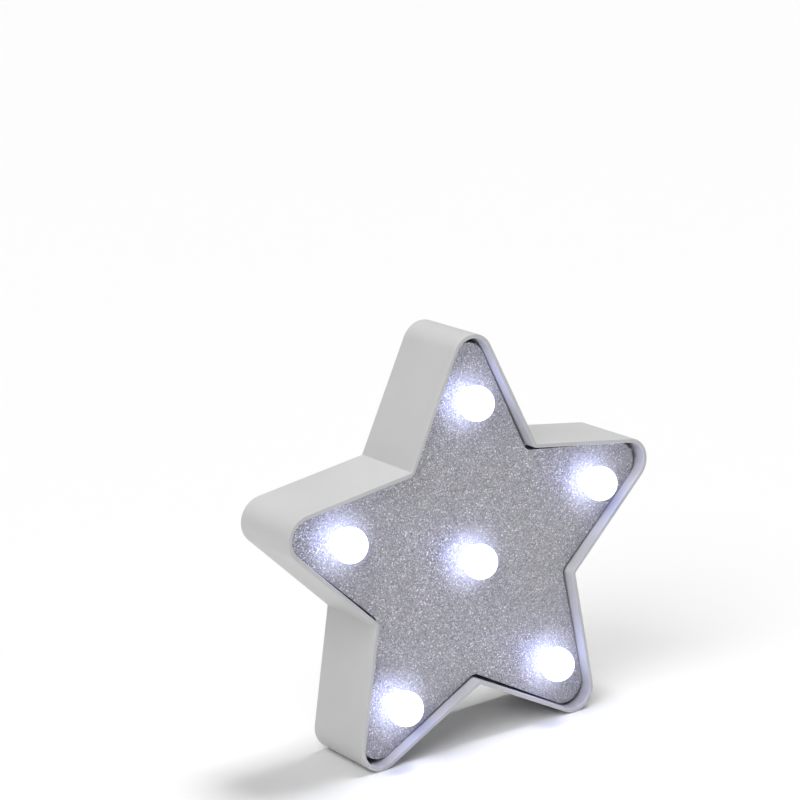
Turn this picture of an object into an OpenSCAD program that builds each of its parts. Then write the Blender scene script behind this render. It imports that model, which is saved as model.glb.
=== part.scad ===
// Star-shaped marquee light: a hollow five-armed plastic star that stands on its two lower tips, with a
// glitter face, six lit globes, and two AA cells, a slide switch and a hanging hole at the back.
// Millimetres. X points right as seen from the front, Z up and Y to the back. The origin is on the
// surface that the star stands on, halfway along its width and its whole depth.

/* [Star] */
// Distance from the star's centre to the sharp corner that each rounded tip is drawn from
star_r = 96; // [92:1:110]
// Distance from the star's centre to its inner corners
inner_r = 48; // [46:1:52]
// Radius of the rounded tips
tip_round = 9; // [8.6:0.1:9.6]
// Depth of the star's wall, front rim to back
depth = 31; // [31:0.5:38]
// Thickness of the wall
wall = 1.6; // [1.4:0.1:1.8]

/* [Face] */
// How far the glitter face lies behind the front rim
recess = 4.2; // [3:0.1:4.5]
// Thickness of the glitter paper
sheet_t = 0.4; // [0.3:0.1:0.5]
// Thickness of the board behind it
board_t = 1.2; // [1:0.1:1.4]
// Gap between the face and the wall
face_gap = 0.5; // [0.3:0.1:0.8]
// Radius of the face's tips, blunter than the wall's
face_tip = 8.2; // [7:0.1:8.6]
// How much wider the gap is at the face's inner corners
face_cut = 0.9; // [0:0.1:1.2]

/* [Globes] */
// Diameter of a globe
globe_d = 13; // [12.6:0.1:14]
// Thickness of a globe's shell
globe_t = 1; // [0.8:0.1:1.2]
// How far a globe's middle stands in front of the rim
globe_out = 1.5; // [1:0.1:2]
// Distance from the star's centre to the five outer globes
globe_ring = 59.5; // [58:0.5:62]

/* [Batteries] */
// Diameter of an AA cell
cell_d = 14.2; // [14:0.1:14.2]
// Length of an AA cell with its button
cell_l = 50.5; // [49.8:0.1:50.5]

/* [Back] */
// Thickness of the back cover
cover_t = 2; // [1.9:0.1:2.2]
// Gap between the back cover and the wall
cover_gap = 0.2; // [0.15:0.05:0.3]
// Radius of the hole that a wall screw's head goes in through
hang_r = 3.5; // [3.2:0.1:4]
// Radius of the slot that the screw's shank slides up
slot_r = 1.8; // [1.6:0.1:2.2]
// Travel of the switch, on to off
switch_travel = 2.5; // [2:0.1:2.6]

/* [Hidden] */
$fn = 64;
PLACES = ["top", "upper_left", "lower_left", "lower_right", "upper_right", "centre"];
function named(what) = [for (p = PLACES) str(what, "_", p)];

// Colours
shell_colour = [0.80, 0.80, 0.79];
glitter_colour = [0.62, 0.61, 0.65];
board_colour = [0.32, 0.31, 0.30];
globe_colour = [0.96, 0.97, 1.00];
metal_colour = [0.72, 0.73, 0.74];
red_wire = [0.70, 0.08, 0.07];
black_wire = [0.06, 0.06, 0.07];

// The star's outline. Every inset outline keeps the same centre, because all ten edges lie edge_h from it.
half_tip = atan(inner_r * sin(36) / (star_r - inner_r * cos(36)));
edge_h = star_r * sin(half_tip);
tip_sweep = 90 - half_tip;
tip_step = 9;
function tip_centre(inset, round) = star_r - (inset + round) / sin(half_tip);
function arm_angle(k) = 90 + 72 * k;
function polar(r, a) = [r * cos(a), r * sin(a)];
tip_angles = concat([-tip_sweep], [for (n = [-6 : 6]) n * tip_step], [tip_sweep]);
function tip_arc(inset, round, k) = [
    for (a = tip_angles) polar(tip_centre(inset, round), arm_angle(k)) + polar(round, arm_angle(k) + a)
];
function inner_corner(inset, k) = polar(inner_r * (1 - inset / edge_h), arm_angle(k) + 36);
function star_points(inset, round, cut) = [
    for (k = [0 : 4]) each concat(tip_arc(inset, round, k), [inner_corner(inset + cut, k)])
];

// Levels, as depths behind the front rim
board_front = recess + sheet_t;
board_back = board_front + board_t;
pad_t = 0.5;
post_front = board_back + pad_t;
cover_front = depth - cover_t;
post_back = cover_front - 2.2;

// Where the star lies in the frame
boss_r = tip_centre(0, tip_round);
centre_z = boss_r * cos(36) + tip_round;
globe_front = globe_out + globe_d / 2;
front_y = globe_front - (depth + globe_front) / 2;

// Screw posts, and the ribs that tie them to the wall
post_d = 6.4;
rib_t = 1.4;
rib_bite = 0.5;
pilot_r = 1.35;
corner_rib_r = 40;

// Screws
screw_r = 1.3;
screw_l = 10;
head_r = 2.7;
head_h = 1.9;
cup_r = 4.6;
cup_bore = 3.2;
cup_floor = 1.6;
screw_seat = post_back + cup_floor;

// Globe, socket and LED
neck_r = 4.3;
collar_r = 5;
collar_t = 0.9;
neck_bore = 3.5;
hole_r = 4.5;
flange_r = 5.6;
flange_t = 1.4;
led_r = 2.5;
led_flange_r = 2.9;
led_flange_t = 1;
led_l = 8.6;
led_base = board_back + flange_t;
lead_pitch = 2.54;
lead_w = 0.5;
bead_r = 1;
bead_tip_r = 0.6;
bead_h = 1.2;
minus_level = led_base + 3;
plus_level = minus_level + 2;

// Battery bay
bay_x = cell_l / 2 + 3.55;
bay_z = cell_d + 1;
bay_wall = 2;
bay_floor_t = 1.4;
cell_z = bay_z / 2;
cell_depth = depth - 2.2 - cell_d / 2;
bay_floor = cell_depth - cell_d / 2 - 0.2;
nub_r = 2.75;
nub_h = 1.4;
contact_t = 0.4;
contact_w = 10;
bump_h = 1;
tab_w = 3;
tab_out = 4.2;
tab_depth = bay_floor + 1.4;
spring_turns = 4;
spring_wire_r = 0.4;
spring_l = 2 * bay_x - 2 * contact_t - bump_h - cell_l;

// Battery door
ledge = 1.3;
door_t = 1.8;
door_gap = 0.3;
door_x = bay_x + ledge - door_gap;
door_z = bay_z + ledge - door_gap;
hinge_z = bay_z + ledge;
hook_x = 18;
hook_w = 8;
hook_reach = 1.8;
hook_back = depth - 2.1;
hook_front = hook_back - 1.5;
catch_w = 10;
catch_z = bay_z - 0.2;
catch_t = 1;
catch_bump = 0.7;

// Switch
switch_z = -30;
switch_block = [26, 11];
switch_pocket = [12, 7.2];
switch_pocket_depth = 2.6;
switch_floor_t = 1.2;
can = [12.7, 6.6, 4.4];
can_t = 0.4;
ear = [24, 5, 0.5];
ear_screw_x = 9.6;
knob = [3.6, 3.4];
can_back = depth - switch_pocket_depth - switch_floor_t;
can_front = can_back - can[2];
base_t = 1.6;
terminal_pitch = 3;
terminal_l = 3.5;
terminal = [0.5, 1];
knob_x = -switch_travel / 2;
carrier = [5.4, 5];
clip = [4.2, 1.6];
clip_t = 0.3;

// Hanging hole
hang_z = 44;
slot_top = 52;

// Wires and the resistor. A wire's points are [x, z, depth].
wire_r = 0.5;
wire_sides = 8;
resistor_at = [-16, -36];
resistor_depth = 14.2;
resistor_turn = 212;
resistor_body = [6.3, 1.2];
resistor_lead = [5, 0.3];
cell_to_switch = [
    [bay_x + tab_out, cell_z, tab_depth], [36, 6, 16.6], [36, 1, 20], [35, -9, 22],
    [32, -20, 22], [20, -28, 19], [8, -30.5, 15.6], [1.6, -30.4, 14.6],
];
cell_to_leds = [
    [bay_x + tab_out, -cell_z, tab_depth], [35, -6.6, 15.6], [36, -1, 14.4],
    [38.5, 5, 12.6], [43.5, 10.5, 11],
];
switch_to_resistor = [[-3, -30, 15.6], [-3.4, -30, 14.7], [-5.4, -30, 14.3]];

// Draws a flat shape in X and Z, and makes it solid between two depths
module slab(from, to)
    translate([0, front_y + to, centre_z]) rotate([90, 0, 0]) linear_extrude(to - from) children();

// Puts a turned solid at a spot on the face, with its axis running back from the given depth
module turned(spot, at)
    translate([spot[0], front_y + at, centre_z + spot[1]]) rotate([-90, 0, 0]) children();

// Puts a turned solid with its axis along X, at a height and depth
module turned_x(x, z, at)
    translate([x, front_y + at, centre_z + z]) rotate([0, 90, 0]) children();

// A cut takes the inner corners further in than the rest
module star(inset, round, cut = 0) polygon(star_points(inset, round, cut));

module box_2d(x, z, w, h) translate([x - w / 2, z - h / 2]) square([w, h]);

function place(i) = i < 5 ? polar(globe_ring, arm_angle(i)) : [0, 0];

// The screw posts with their ribs, and the ribs in the inner corners
module post_ribs() {
    reach = tip_round - wall + rib_bite;
    for (k = [0 : 4]) translate(polar(boss_r, arm_angle(k))) {
        circle(d = post_d);
        for (a = [-tip_sweep, 0, tip_sweep])
            rotate(arm_angle(k) + a) translate([0, -rib_t / 2]) square([reach, rib_t]);
    }
    corner = inner_r * (1 - wall / edge_h);
    for (k = [0 : 4]) rotate(arm_angle(k) + 36)
        translate([corner_rib_r, -rib_t / 2]) square([corner + rib_bite - corner_rib_r, rib_t]);
}

module housing() color(shell_colour)
    difference() {
        union() {
            slab(0, depth) difference() {
                star(0, tip_round);
                star(wall, tip_round - wall);
            }
            slab(post_front, post_back) post_ribs();
        }
        for (k = [0 : 4]) turned(polar(boss_r, arm_angle(k)), post_back - 12) cylinder(r = pilot_r, h = 13);
    }

module glitter_sheet() color(glitter_colour)
    slab(recess, board_front) difference() {
        star(wall + face_gap, face_tip, face_cut);
        for (i = [0 : 5]) translate(place(i)) circle(hole_r);
    }

module face_board() color(board_colour)
    slab(board_front, board_back) difference() {
        star(wall + face_gap, face_tip, face_cut);
        for (i = [0 : 5]) translate(place(i)) circle(hole_r);
    }

// Foam pads that hold the face on the posts and the corner ribs
module face_pads() color("white")
    slab(board_back, post_front) for (k = [0 : 4]) {
        translate(polar(boss_r, arm_angle(k))) circle(d = post_d - 1);
        rotate(arm_angle(k) + 36) translate([corner_rib_r, -rib_t / 2]) square([4, rib_t]);
    }

// A frosted hollow globe whose collar sits on the face and whose neck goes through it
module globe(i) color(globe_colour)
    difference() {
        union() {
            turned(place(i), -globe_out) sphere(d = globe_d);
            turned(place(i), 0) cylinder(r = neck_r, h = board_back);
            turned(place(i), recess - collar_t) cylinder(r = collar_r, h = collar_t);
        }
        turned(place(i), -globe_out) sphere(d = globe_d - 2 * globe_t);
        turned(place(i), 0) cylinder(r = neck_bore, h = board_back + 1);
    }

// A plug that holds the LED in the globe's neck
module socket(i) color("white")
    difference() {
        union() {
            turned(place(i), recess - 1.2) cylinder(r = neck_bore - 0.1, h = board_back - recess + 1.2);
            turned(place(i), board_back) cylinder(r = flange_r, h = flange_t);
        }
        turned(place(i), recess - 2) cylinder(r = led_r + 0.05, h = 6);
        turned(place(i), led_base - led_flange_t) cylinder(r = led_flange_r + 0.05, h = 2);
    }

module led(i) color([0.90, 0.93, 0.98])
    union() {
        turned(place(i), led_base - led_l + led_r) sphere(led_r);
        turned(place(i), led_base - led_l + led_r) cylinder(r = led_r, h = led_l - led_r - led_flange_t);
        turned(place(i), led_base - led_flange_t) cylinder(r = led_flange_r, h = led_flange_t);
    }

// The centre LED's legs lie along X; an outer LED's lie across its arm
function leg_turn(i) = i < 5 ? arm_angle(i) : 270;
function leg_place(i, side) = place(i) + polar(side * lead_pitch / 2, leg_turn(i) - 90);
function leg_level(side) = side > 0 ? plus_level : minus_level;

module led_leads() color(metal_colour)
    for (i = [0 : 5], side = [-1, 1])
        slab(led_base, leg_level(side) - bead_h / 2) translate(leg_place(i, side)) rotate(leg_turn(i))
            square(lead_w, center = true);

module solder_beads() color(metal_colour)
    for (i = [0 : 5], side = [-1, 1]) turned(leg_place(i, side), leg_level(side) - bead_h / 2)
        rotate_extrude() polygon([
            [0, 0], [bead_tip_r, 0], [bead_r, bead_h / 3],
            [bead_r, bead_h * 2 / 3], [bead_tip_r, bead_h], [0, bead_h]]);

// The cover's plate, lip, screw cups, battery bay and switch block, with what is cut out of them
module back_cover() color(shell_colour)
    difference() {
        union() {
            slab(cover_front, depth) star(wall + cover_gap, tip_round - wall - cover_gap);
            slab(post_back, cover_front) difference() {
                star(wall + cover_gap, tip_round - wall - cover_gap);
                star(wall + cover_gap + 1.4, tip_round - wall - cover_gap - 1.4);
            }
            for (k = [0 : 4]) turned(polar(boss_r, arm_angle(k)), post_back) cylinder(r = cup_r, h = 3);
            slab(bay_floor - bay_floor_t, cover_front)
                box_2d(0, 0, 2 * (bay_x + bay_wall), 2 * (bay_z + bay_wall));
            slab(can_back, cover_front) box_2d(0, switch_z, switch_block[0], switch_block[1]);
        }
        screw_holes();
        battery_bay();
        switch_cuts();
        hanging_hole();
    }

module screw_holes() for (k = [0 : 4]) {
    turned(polar(boss_r, arm_angle(k)), screw_seat) cylinder(r = cup_bore, h = depth);
    turned(polar(boss_r, arm_angle(k)), post_back - 1) cylinder(r = screw_r + 0.3, h = 5);
}

module battery_bay() {
    slab(bay_floor, depth + 1) box_2d(0, 0, 2 * bay_x, 2 * bay_z);
    slab(depth - door_t, depth + 1) box_2d(0, 0, 2 * (bay_x + ledge), 2 * (bay_z + ledge));
    for (x = [-hook_x, hook_x])
        slab(hook_front - 0.8, depth - door_t) box_2d(x, bay_z, hook_w + 0.8, 2 * bay_wall + 1);
    slab(hook_front - 1.2, depth) box_2d(0, -bay_z, catch_w + 0.8, 2 * (catch_bump + 0.4));
    // A fingernail dish below the door
    turned([0, -hinge_z], depth - 1) cylinder(r = 6, h = 2);
    // Slots for the two soldering tabs
    for (z = [-cell_z, cell_z]) slab(tab_depth - 0.5, tab_depth + 0.5) box_2d(bay_x + 1, z, 4, tab_w + 0.6);
}

module switch_cuts() {
    slab(depth - switch_pocket_depth, depth + 1) box_2d(0, switch_z, switch_pocket[0], switch_pocket[1]);
    slab(can_back - 1, depth) box_2d(0, switch_z, knob[0] + switch_travel + 0.6, knob[1] + 0.5);
    for (x = [-ear_screw_x, ear_screw_x]) turned([x, switch_z], can_back - 1) cylinder(r = 0.85, h = 3.8);
}

module hanging_hole() slab(cover_front - 1, depth + 1) {
    translate([0, hang_z]) circle(hang_r);
    translate([0, slot_top]) circle(slot_r);
    box_2d(0, (hang_z + slot_top) / 2, 2 * slot_r, slot_top - hang_z);
}

module cover_screws() color(metal_colour)
    for (k = [0 : 4]) pan_screw(polar(boss_r, arm_angle(k)), screw_seat);

// A cross-head screw put in from the back, with its head resting at the given depth
module pan_screw(at, seat)
    difference() {
        union() {
            turned(at, seat - screw_l) cylinder(r1 = 0.5, r2 = screw_r, h = 2);
            turned(at, seat - screw_l + 2) cylinder(r = screw_r, h = screw_l - 2);
            turned(at, seat) cylinder(r = head_r, h = head_h - 0.6);
            turned(at, seat + head_h - 0.6) cylinder(r1 = head_r, r2 = head_r - 0.6, h = 0.6);
        }
        slab(seat + head_h - 1.1, seat + head_h + 1) translate(at) {
            square([3, 0.6], center = true);
            square([0.6, 3], center = true);
        }
    }

// The door turns on the top edge of its recess. Two hooks reach under the cover there, and a sprung
// catch holds the bottom edge.
module battery_door() color(shell_colour)
    difference() {
        union() {
            slab(depth - door_t, depth) box_2d(0, 0, 2 * door_x, 2 * door_z);
            for (x = [-hook_x, hook_x]) {
                slab(hook_front, depth - door_t) box_2d(x, door_z - 0.6, hook_w, 1.2);
                slab(hook_front, hook_back) translate([x - hook_w / 2, door_z - 1.2])
                    square([hook_w, hinge_z + hook_reach - door_z + 1.2]);
            }
            slab(hook_front - 0.6, depth - door_t) box_2d(0, catch_t / 2 - catch_z, catch_w, catch_t);
            slab(hook_front - 0.6, hook_front + 0.4)
                box_2d(0, (catch_t - catch_bump) / 2 - catch_z, catch_w, catch_t + catch_bump);
        }
        // Finger grooves beside the catch
        for (n = [0 : 3]) slab(depth - 0.4, depth + 1) box_2d(0, -door_z + 3 + 2 * n, 14 - 2 * n, 0.8);
    }

// An AA cell drawn along X with its button at the positive end
module cell() rotate_extrude() polygon([
    [0, 0], [cell_d / 2 - 0.6, 0], [cell_d / 2, 0.6], [cell_d / 2, cell_l - nub_h - 0.6],
    [cell_d / 2 - 0.6, cell_l - nub_h], [nub_r, cell_l - nub_h], [nub_r, cell_l], [0, cell_l]]);

cell_end = bay_x - contact_t - bump_h;
module cell_upper() color([0.15, 0.30, 0.55]) turned_x(cell_end - cell_l, cell_z, cell_depth) cell();
module cell_lower() color([0.15, 0.30, 0.55])
    turned_x(cell_l - cell_end, -cell_z, cell_depth) rotate([180, 0, 0]) cell();

// A nickel-plated strip on the bay's right wall, with a tab that goes out through the wall
module tab_contact(z) {
    slab(bay_floor + 0.3, cell_depth + 6) box_2d(bay_x - contact_t / 2, z, contact_t, contact_w);
    slab(tab_depth - contact_t / 2, tab_depth + contact_t / 2)
        box_2d(bay_x - contact_t + (tab_out + contact_t) / 2, z, tab_out + contact_t, tab_w);
}

module plus_contact() color(metal_colour) {
    tab_contact(cell_z);
    turned_x(bay_x - contact_t - bump_h, cell_z, cell_depth) cylinder(r1 = 1.8, r2 = 2.6, h = bump_h);
}

module minus_contact() color(metal_colour) tab_contact(-cell_z);

module bridge_contact() color(metal_colour) {
    slab(bay_floor + 0.3, cell_depth + 6)
        box_2d(-bay_x + contact_t / 2, 0, contact_t, 2 * cell_z + contact_w);
    turned_x(-bay_x + contact_t, -cell_z, cell_depth) cylinder(r1 = 2.6, r2 = 1.8, h = bump_h);
}

// A tube swept along a smooth line: one ring of points at each place on the line
function unit(v) = v / norm(v);
function ring(p, along, r, sides, up) =
    let (u = unit(cross(along, up)), w = cross(u, along))
    [for (s = [0 : sides - 1]) p + r * (cos(360 * s / sides) * u + sin(360 * s / sides) * w)];
function tube_faces(rings, sides) = concat(
    [[for (s = [sides - 1 : -1 : 0]) s]],
    [for (n = [0 : rings - 2], s = [0 : sides - 1]) let (a = n * sides, b = a + sides, t = (s + 1) % sides)
        [a + s, a + t, b + t, b + s]],
    [[for (s = [0 : sides - 1]) (rings - 1) * sides + s]]);
module tube(line, r, sides, up = [0.03, 1, 0.02]) {
    last = len(line) - 1;
    tangents = [for (n = [0 : last]) unit(line[min(n + 1, last)] - line[max(n - 1, 0)])];
    points = [for (n = [0 : last]) each ring(line[n], tangents[n], r, sides, up)];
    polyhedron(points, tube_faces(last + 1, sides));
}

// A coil spring between the contact and the cell, wider at the contact
module spring() {
    steps = 14;
    rise = spring_l - 2 * spring_wire_r - 0.04;
    line = [for (n = [0 : spring_turns * steps]) let (s = n / (spring_turns * steps))
        concat(polar(4.2 - 1.6 * s, 360 * spring_turns * s), spring_wire_r + 0.02 + rise * s)];
    tube(line, spring_wire_r, 6, [0, 0, 1]);
}

module minus_spring() color(metal_colour)
    turned_x(bay_x - contact_t, -cell_z, cell_depth) rotate([0, 180, 0]) spring();
module bridge_spring() color(metal_colour) turned_x(-bay_x + contact_t, cell_z, cell_depth) spring();

// The switch: a steel can with two ears, a base that carries three terminals, and the knob with its clip
module switch_can() color(metal_colour)
    difference() {
        union() {
            slab(can_front, can_back) box_2d(0, switch_z, can[0], can[1]);
            slab(can_back - ear[2], can_back) box_2d(0, switch_z, ear[0], ear[1]);
        }
        slab(can_front - 1, can_back - can_t) box_2d(0, switch_z, can[0] - 2 * can_t, can[1] - 2 * can_t);
        slab(can_front, can_back + 1) box_2d(0, switch_z, knob[0] + switch_travel + 0.6, knob[1] + 0.5);
        for (x = [-ear_screw_x, ear_screw_x]) turned([x, switch_z], can_back - 2) cylinder(r = 1.1, h = 3);
    }

module switch_base() color([0.45, 0.30, 0.18])
    difference() {
        slab(can_front, can_front + base_t) box_2d(0, switch_z, can[0] - 2 * can_t, can[1] - 2 * can_t);
        for (n = [-1 : 1]) slab(can_front - 1, depth)
            box_2d(n * terminal_pitch, switch_z, terminal[0] + 0.02, terminal[1] + 0.02);
    }

module switch_terminals() color(metal_colour)
    for (n = [-1 : 1]) slab(can_front - terminal_l, can_front + base_t)
        box_2d(n * terminal_pitch, switch_z, terminal[0], terminal[1]);

module switch_screws() color(metal_colour) for (x = [-ear_screw_x, ear_screw_x]) {
    turned([x, switch_z], can_back - ear[2]) cylinder(r = 0.8, h = ear[2] + 2.4);
    turned([x, switch_z], can_back - ear[2] - 1) cylinder(r1 = 1.3, r2 = 1.7, h = 1);
}

module switch_knob() color([0.08, 0.08, 0.09]) {
    slab(can_front + base_t + clip_t + 0.1, can_back - can_t - 0.1)
        box_2d(knob_x, switch_z, carrier[0], carrier[1]);
    slab(can_back - can_t - 0.1, depth - 0.3) box_2d(knob_x, switch_z, knob[0], knob[1]);
}
module switch_clip() color(metal_colour)
    slab(can_front + base_t + 0.05, can_front + base_t + clip_t + 0.05)
        box_2d(knob_x, switch_z, clip[0], clip[1]);

// Resistor, in line with the wire from the switch
resistor_half = resistor_body[0] / 2 + resistor_lead[0] + 0.02;
function resistor_end(s) = concat(resistor_at + polar(s * resistor_half, resistor_turn), resistor_depth);
module resistor() {
    at = [resistor_at[0], front_y + resistor_depth, centre_z + resistor_at[1]];
    color([0.80, 0.70, 0.52]) translate(at) rotate([0, -resistor_turn, 0]) rotate([0, 90, 0]) union() {
        cylinder(r = resistor_body[1] - 0.15, h = resistor_body[0] - 2, center = true);
        for (s = [-1, 1]) translate([0, 0, s * (resistor_body[0] / 2 - 0.8)])
            cylinder(r = resistor_body[1], h = 1.6, center = true);
        cylinder(r = resistor_lead[1], h = resistor_body[0] + 2 * resistor_lead[0], center = true);
    }
}

// Wires. A line's points are [x, z, depth], joined by a smooth curve.
function in_frame(p) = [p[0], front_y + p[2], centre_z + p[1]];
function curve_point(a, b, c, d, t) = 0.5 * (2 * b + (c - a) * t + (2 * a - 5 * b + 4 * c - d) * t * t
    + (3 * b - a - 3 * c + d) * t * t * t);
function smooth(points, steps) =
    let (last = len(points) - 1)
    [for (n = [0 : last - 1], s = [0 : steps - 1])
        curve_point(points[max(n - 1, 0)], points[n], points[n + 1], points[min(n + 2, last)], s / steps),
     points[last]];
module wire(points, steps = 3)
    tube([for (p = smooth(points, steps)) in_frame(p)], wire_r, wire_sides);

// A point near an LED's leg: so far from it, in a direction measured from the way out along the arm
function by_leg(i, side, reach, turn) =
    concat(leg_place(i, side) + polar(reach, leg_turn(i) + turn), leg_level(side));
// A point in an arm's own polar frame
function arm_point(i, r, turn, side) = concat(polar(r, arm_angle(i) + turn), leg_level(side));
touch = bead_r + 0.02;

// Wires join the five outer LEDs in a row, each going in round an inner corner, and the centre LED to one
// of the five
module led_wires(side, centre_to) {
    for (i = [0, 4, 1, 2]) {
        from = i;
        to = (i + 4) % 5;
        wire([by_leg(from, side, touch, -115), by_leg(from, side, 4, -128), arm_point(from, 46, -9, side),
              arm_point(from, 35, -36, side), arm_point(to, 46, 9, side),
              by_leg(to, side, 4, 128), by_leg(to, side, touch, 115)]);
    }
    toward = arm_angle(centre_to) - leg_turn(5);
    wire([by_leg(5, side, touch, toward), by_leg(5, side, 8, toward), arm_point(centre_to, 30, 0, side),
          by_leg(centre_to, side, 8, 180), by_leg(centre_to, side, touch, 180)]);
}
module wires_plus() color(red_wire) led_wires(1, 2);
module wires_minus() color(black_wire) led_wires(-1, 3);

terminal_end = can_front - terminal_l - 0.02;
module wire_cell_to_switch() color(red_wire) wire(concat(cell_to_switch, [[0, switch_z, terminal_end]]));
module wire_switch_to_resistor() color(red_wire) wire(concat([[-terminal_pitch, switch_z, terminal_end]],
    switch_to_resistor, [resistor_end(-1)]));
module wire_resistor_to_leds() color(red_wire) wire([resistor_end(1), resistor_end(1) + [-2, -1.4, -0.4],
    by_leg(2, 1, 4, 128), by_leg(2, 1, touch, 115)]);
module wire_cell_to_leds() color(black_wire)
    wire(concat(cell_to_leds, [by_leg(4, -1, 4, 180), by_leg(4, -1, touch, 180)]));

housing();
glitter_sheet();
face_board();
face_pads();
back_cover();
cover_screws();
for (i = [0 : 5]) globe(i);
for (i = [0 : 5]) socket(i);
for (i = [0 : 5]) led(i);
led_leads();
solder_beads();
battery_door();
cell_upper();
cell_lower();
plus_contact();
minus_contact();
bridge_contact();
minus_spring();
bridge_spring();
switch_can();
switch_base();
switch_terminals();
switch_screws();
switch_knob();
switch_clip();
resistor();
wire_cell_to_switch();
wire_switch_to_resistor();
wire_resistor_to_leds();
wire_cell_to_leds();
wires_plus();
wires_minus();
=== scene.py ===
import math

import bmesh
import bpy
from bpy.props import FloatProperty, FloatVectorProperty, PointerProperty
from mathutils import Matrix, Vector


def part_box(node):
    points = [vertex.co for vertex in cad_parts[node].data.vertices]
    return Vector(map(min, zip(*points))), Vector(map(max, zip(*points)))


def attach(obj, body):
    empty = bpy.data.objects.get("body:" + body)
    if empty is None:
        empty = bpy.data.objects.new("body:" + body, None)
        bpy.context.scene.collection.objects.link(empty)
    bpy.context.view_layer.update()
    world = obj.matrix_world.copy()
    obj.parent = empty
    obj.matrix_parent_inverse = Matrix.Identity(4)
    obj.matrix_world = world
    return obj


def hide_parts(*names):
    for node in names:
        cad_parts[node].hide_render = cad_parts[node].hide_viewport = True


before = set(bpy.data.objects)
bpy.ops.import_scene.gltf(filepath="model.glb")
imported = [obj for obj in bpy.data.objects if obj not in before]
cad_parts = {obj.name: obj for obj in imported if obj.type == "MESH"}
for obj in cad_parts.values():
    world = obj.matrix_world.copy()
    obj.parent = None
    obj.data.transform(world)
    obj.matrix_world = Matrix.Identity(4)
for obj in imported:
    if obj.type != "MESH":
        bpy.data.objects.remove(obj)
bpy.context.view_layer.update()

bl_info = {
    "name": "Star marquee light",
    "version": (1, 0, 0),
    "blender": (4, 5, 0),
    "location": "3D View > Sidebar > Star light",
    "description": "Builds a star-shaped battery light with a glitter face and six lit globes",
    "category": "Object",
}

MM = 0.001
HAIR = 0.01 * MM     # levels closer than this are the same
ARMS = 5
SMOOTH_ANGLE = 35    # degrees below which two faces are shaded as one
SHARP_ANGLE = 60     # degrees above which an edge is one to round
BODY, DOOR, SLIDER = "body", "battery_door", "switch_slider"
PLACES = ["top", "upper_left", "lower_left", "lower_right", "upper_right", "centre"]

# A turned shape is drawn round Z, and these lay it along Y, front to back, or along X
ALONG_Y = Matrix.Rotation(math.radians(-90), 4, "X")
ALONG_X = Matrix.Rotation(math.radians(90), 4, "Y")


def low(node):
    """Returns a node's lowest corner."""
    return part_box(node)[0]


def high(node):
    """Returns a node's highest corner."""
    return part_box(node)[1]


def middle(node):
    """Returns the middle of a node's box."""
    return (low(node) + high(node)) / 2


# Levels along Y that the frame sets, and the star's own centre
RIM = low("housing").y
BACK = high("housing").y
SHEET_FRONT = low("glitter_sheet").y
BOARD_BACK = high("face_board").y
STAR_X = middle("housing").x
STAR_Z = middle("globe_centre").z


def linear(hex_colour):
    """Turns an sRGB hex colour into the linear RGBA that a shader takes."""
    channels = [int(hex_colour[i:i + 2], 16) / 255 for i in (1, 3, 5)]
    return (*[c / 12.92 if c <= 0.04045 else ((c + 0.055) / 1.055) ** 2.4 for c in channels], 1.0)


def length(name, text, size_mm):
    """Makes a length property from a size in millimetres."""
    return FloatProperty(name=name, description=text, default=size_mm * MM, unit="LENGTH", precision=5)


def colour(name, text, hex_colour):
    """Makes a colour property from an sRGB hex colour."""
    return FloatVectorProperty(name=name, description=text, default=linear(hex_colour), size=4,
                               subtype="COLOR", min=0.0, max=1.0)


class StarSizes(bpy.types.PropertyGroup):
    """Sizes of the star that the looks depend on."""
    tip_r: length("Tip distance", "From the centre to the corner that each rounded tip is drawn from", 96)
    inner_r: length("Inner corner distance", "From the centre to the star's inner corners", 48)
    tip_round: length("Tip rounding", "Radius of the rounded tips", 9)
    corner_round: length("Inner corner rounding", "Radius of the wall's outside in an inner corner", 0.7)
    wall: length("Wall", "Thickness of the star's wall", 1.6)
    rim_round: length("Rim rounding", "Rounding of the wall's front edges", 0.3)
    back_round: length("Back rounding", "Rounding of the wall's back edges", 0.35)
    face_gap: length("Face gap", "Gap between the glitter face and the wall", 0.5)
    face_tip: length("Face tip rounding", "Radius of the face's tips, blunter than the wall's", 8.2)
    face_cut: length("Face corner cut", "How much wider the gap is at the face's inner corners", 0.9)
    hole_r: length("Face hole radius", "Radius of the holes that the globes' necks go through", 4.5)
    post_r: length("Post radius", "Radius of a screw post", 3.2)
    pilot_r: length("Pilot radius", "Radius of the hole that a screw cuts its thread in", 1.35)


class GlobeSizes(bpy.types.PropertyGroup):
    """Sizes of a globe."""
    globe_r: length("Globe radius", "Outside radius of a globe", 6.5)
    shell: length("Shell", "Thickness of a globe's shell", 1)
    out: length("Stand-out", "How far a globe's middle stands in front of the rim", 1.5)
    collar_r: length("Collar radius", "Radius of the collar that sits on the face", 5)
    collar_t: length("Collar thickness", "Thickness of the collar", 0.9)
    neck_r: length("Neck radius", "Radius of the neck that goes through the face", 4.3)
    neck_bore: length("Neck bore", "Radius of the neck's bore", 3.5)


class BackSizes(bpy.types.PropertyGroup):
    """Sizes of what is at the back."""
    edge: length("Edge rounding", "Rounding of the back cover's and the door's outer edges", 0.25)
    mark_depth: length("Mark depth", "Depth of the sunk switch marks and door arrow", 0.3)
    head_r: length("Screw head radius", "Radius of a cover screw's head", 2.7)
    head_h: length("Screw head height", "Height of a cover screw's head", 1.9)
    shank_r: length("Screw radius", "Radius of a cover screw over its thread", 1.3)
    thread_pitch: length("Thread pitch", "Distance between two turns of a screw's thread", 1.0)
    spring_wire: length("Spring wire", "Radius of the battery springs' wire", 0.4)


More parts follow.
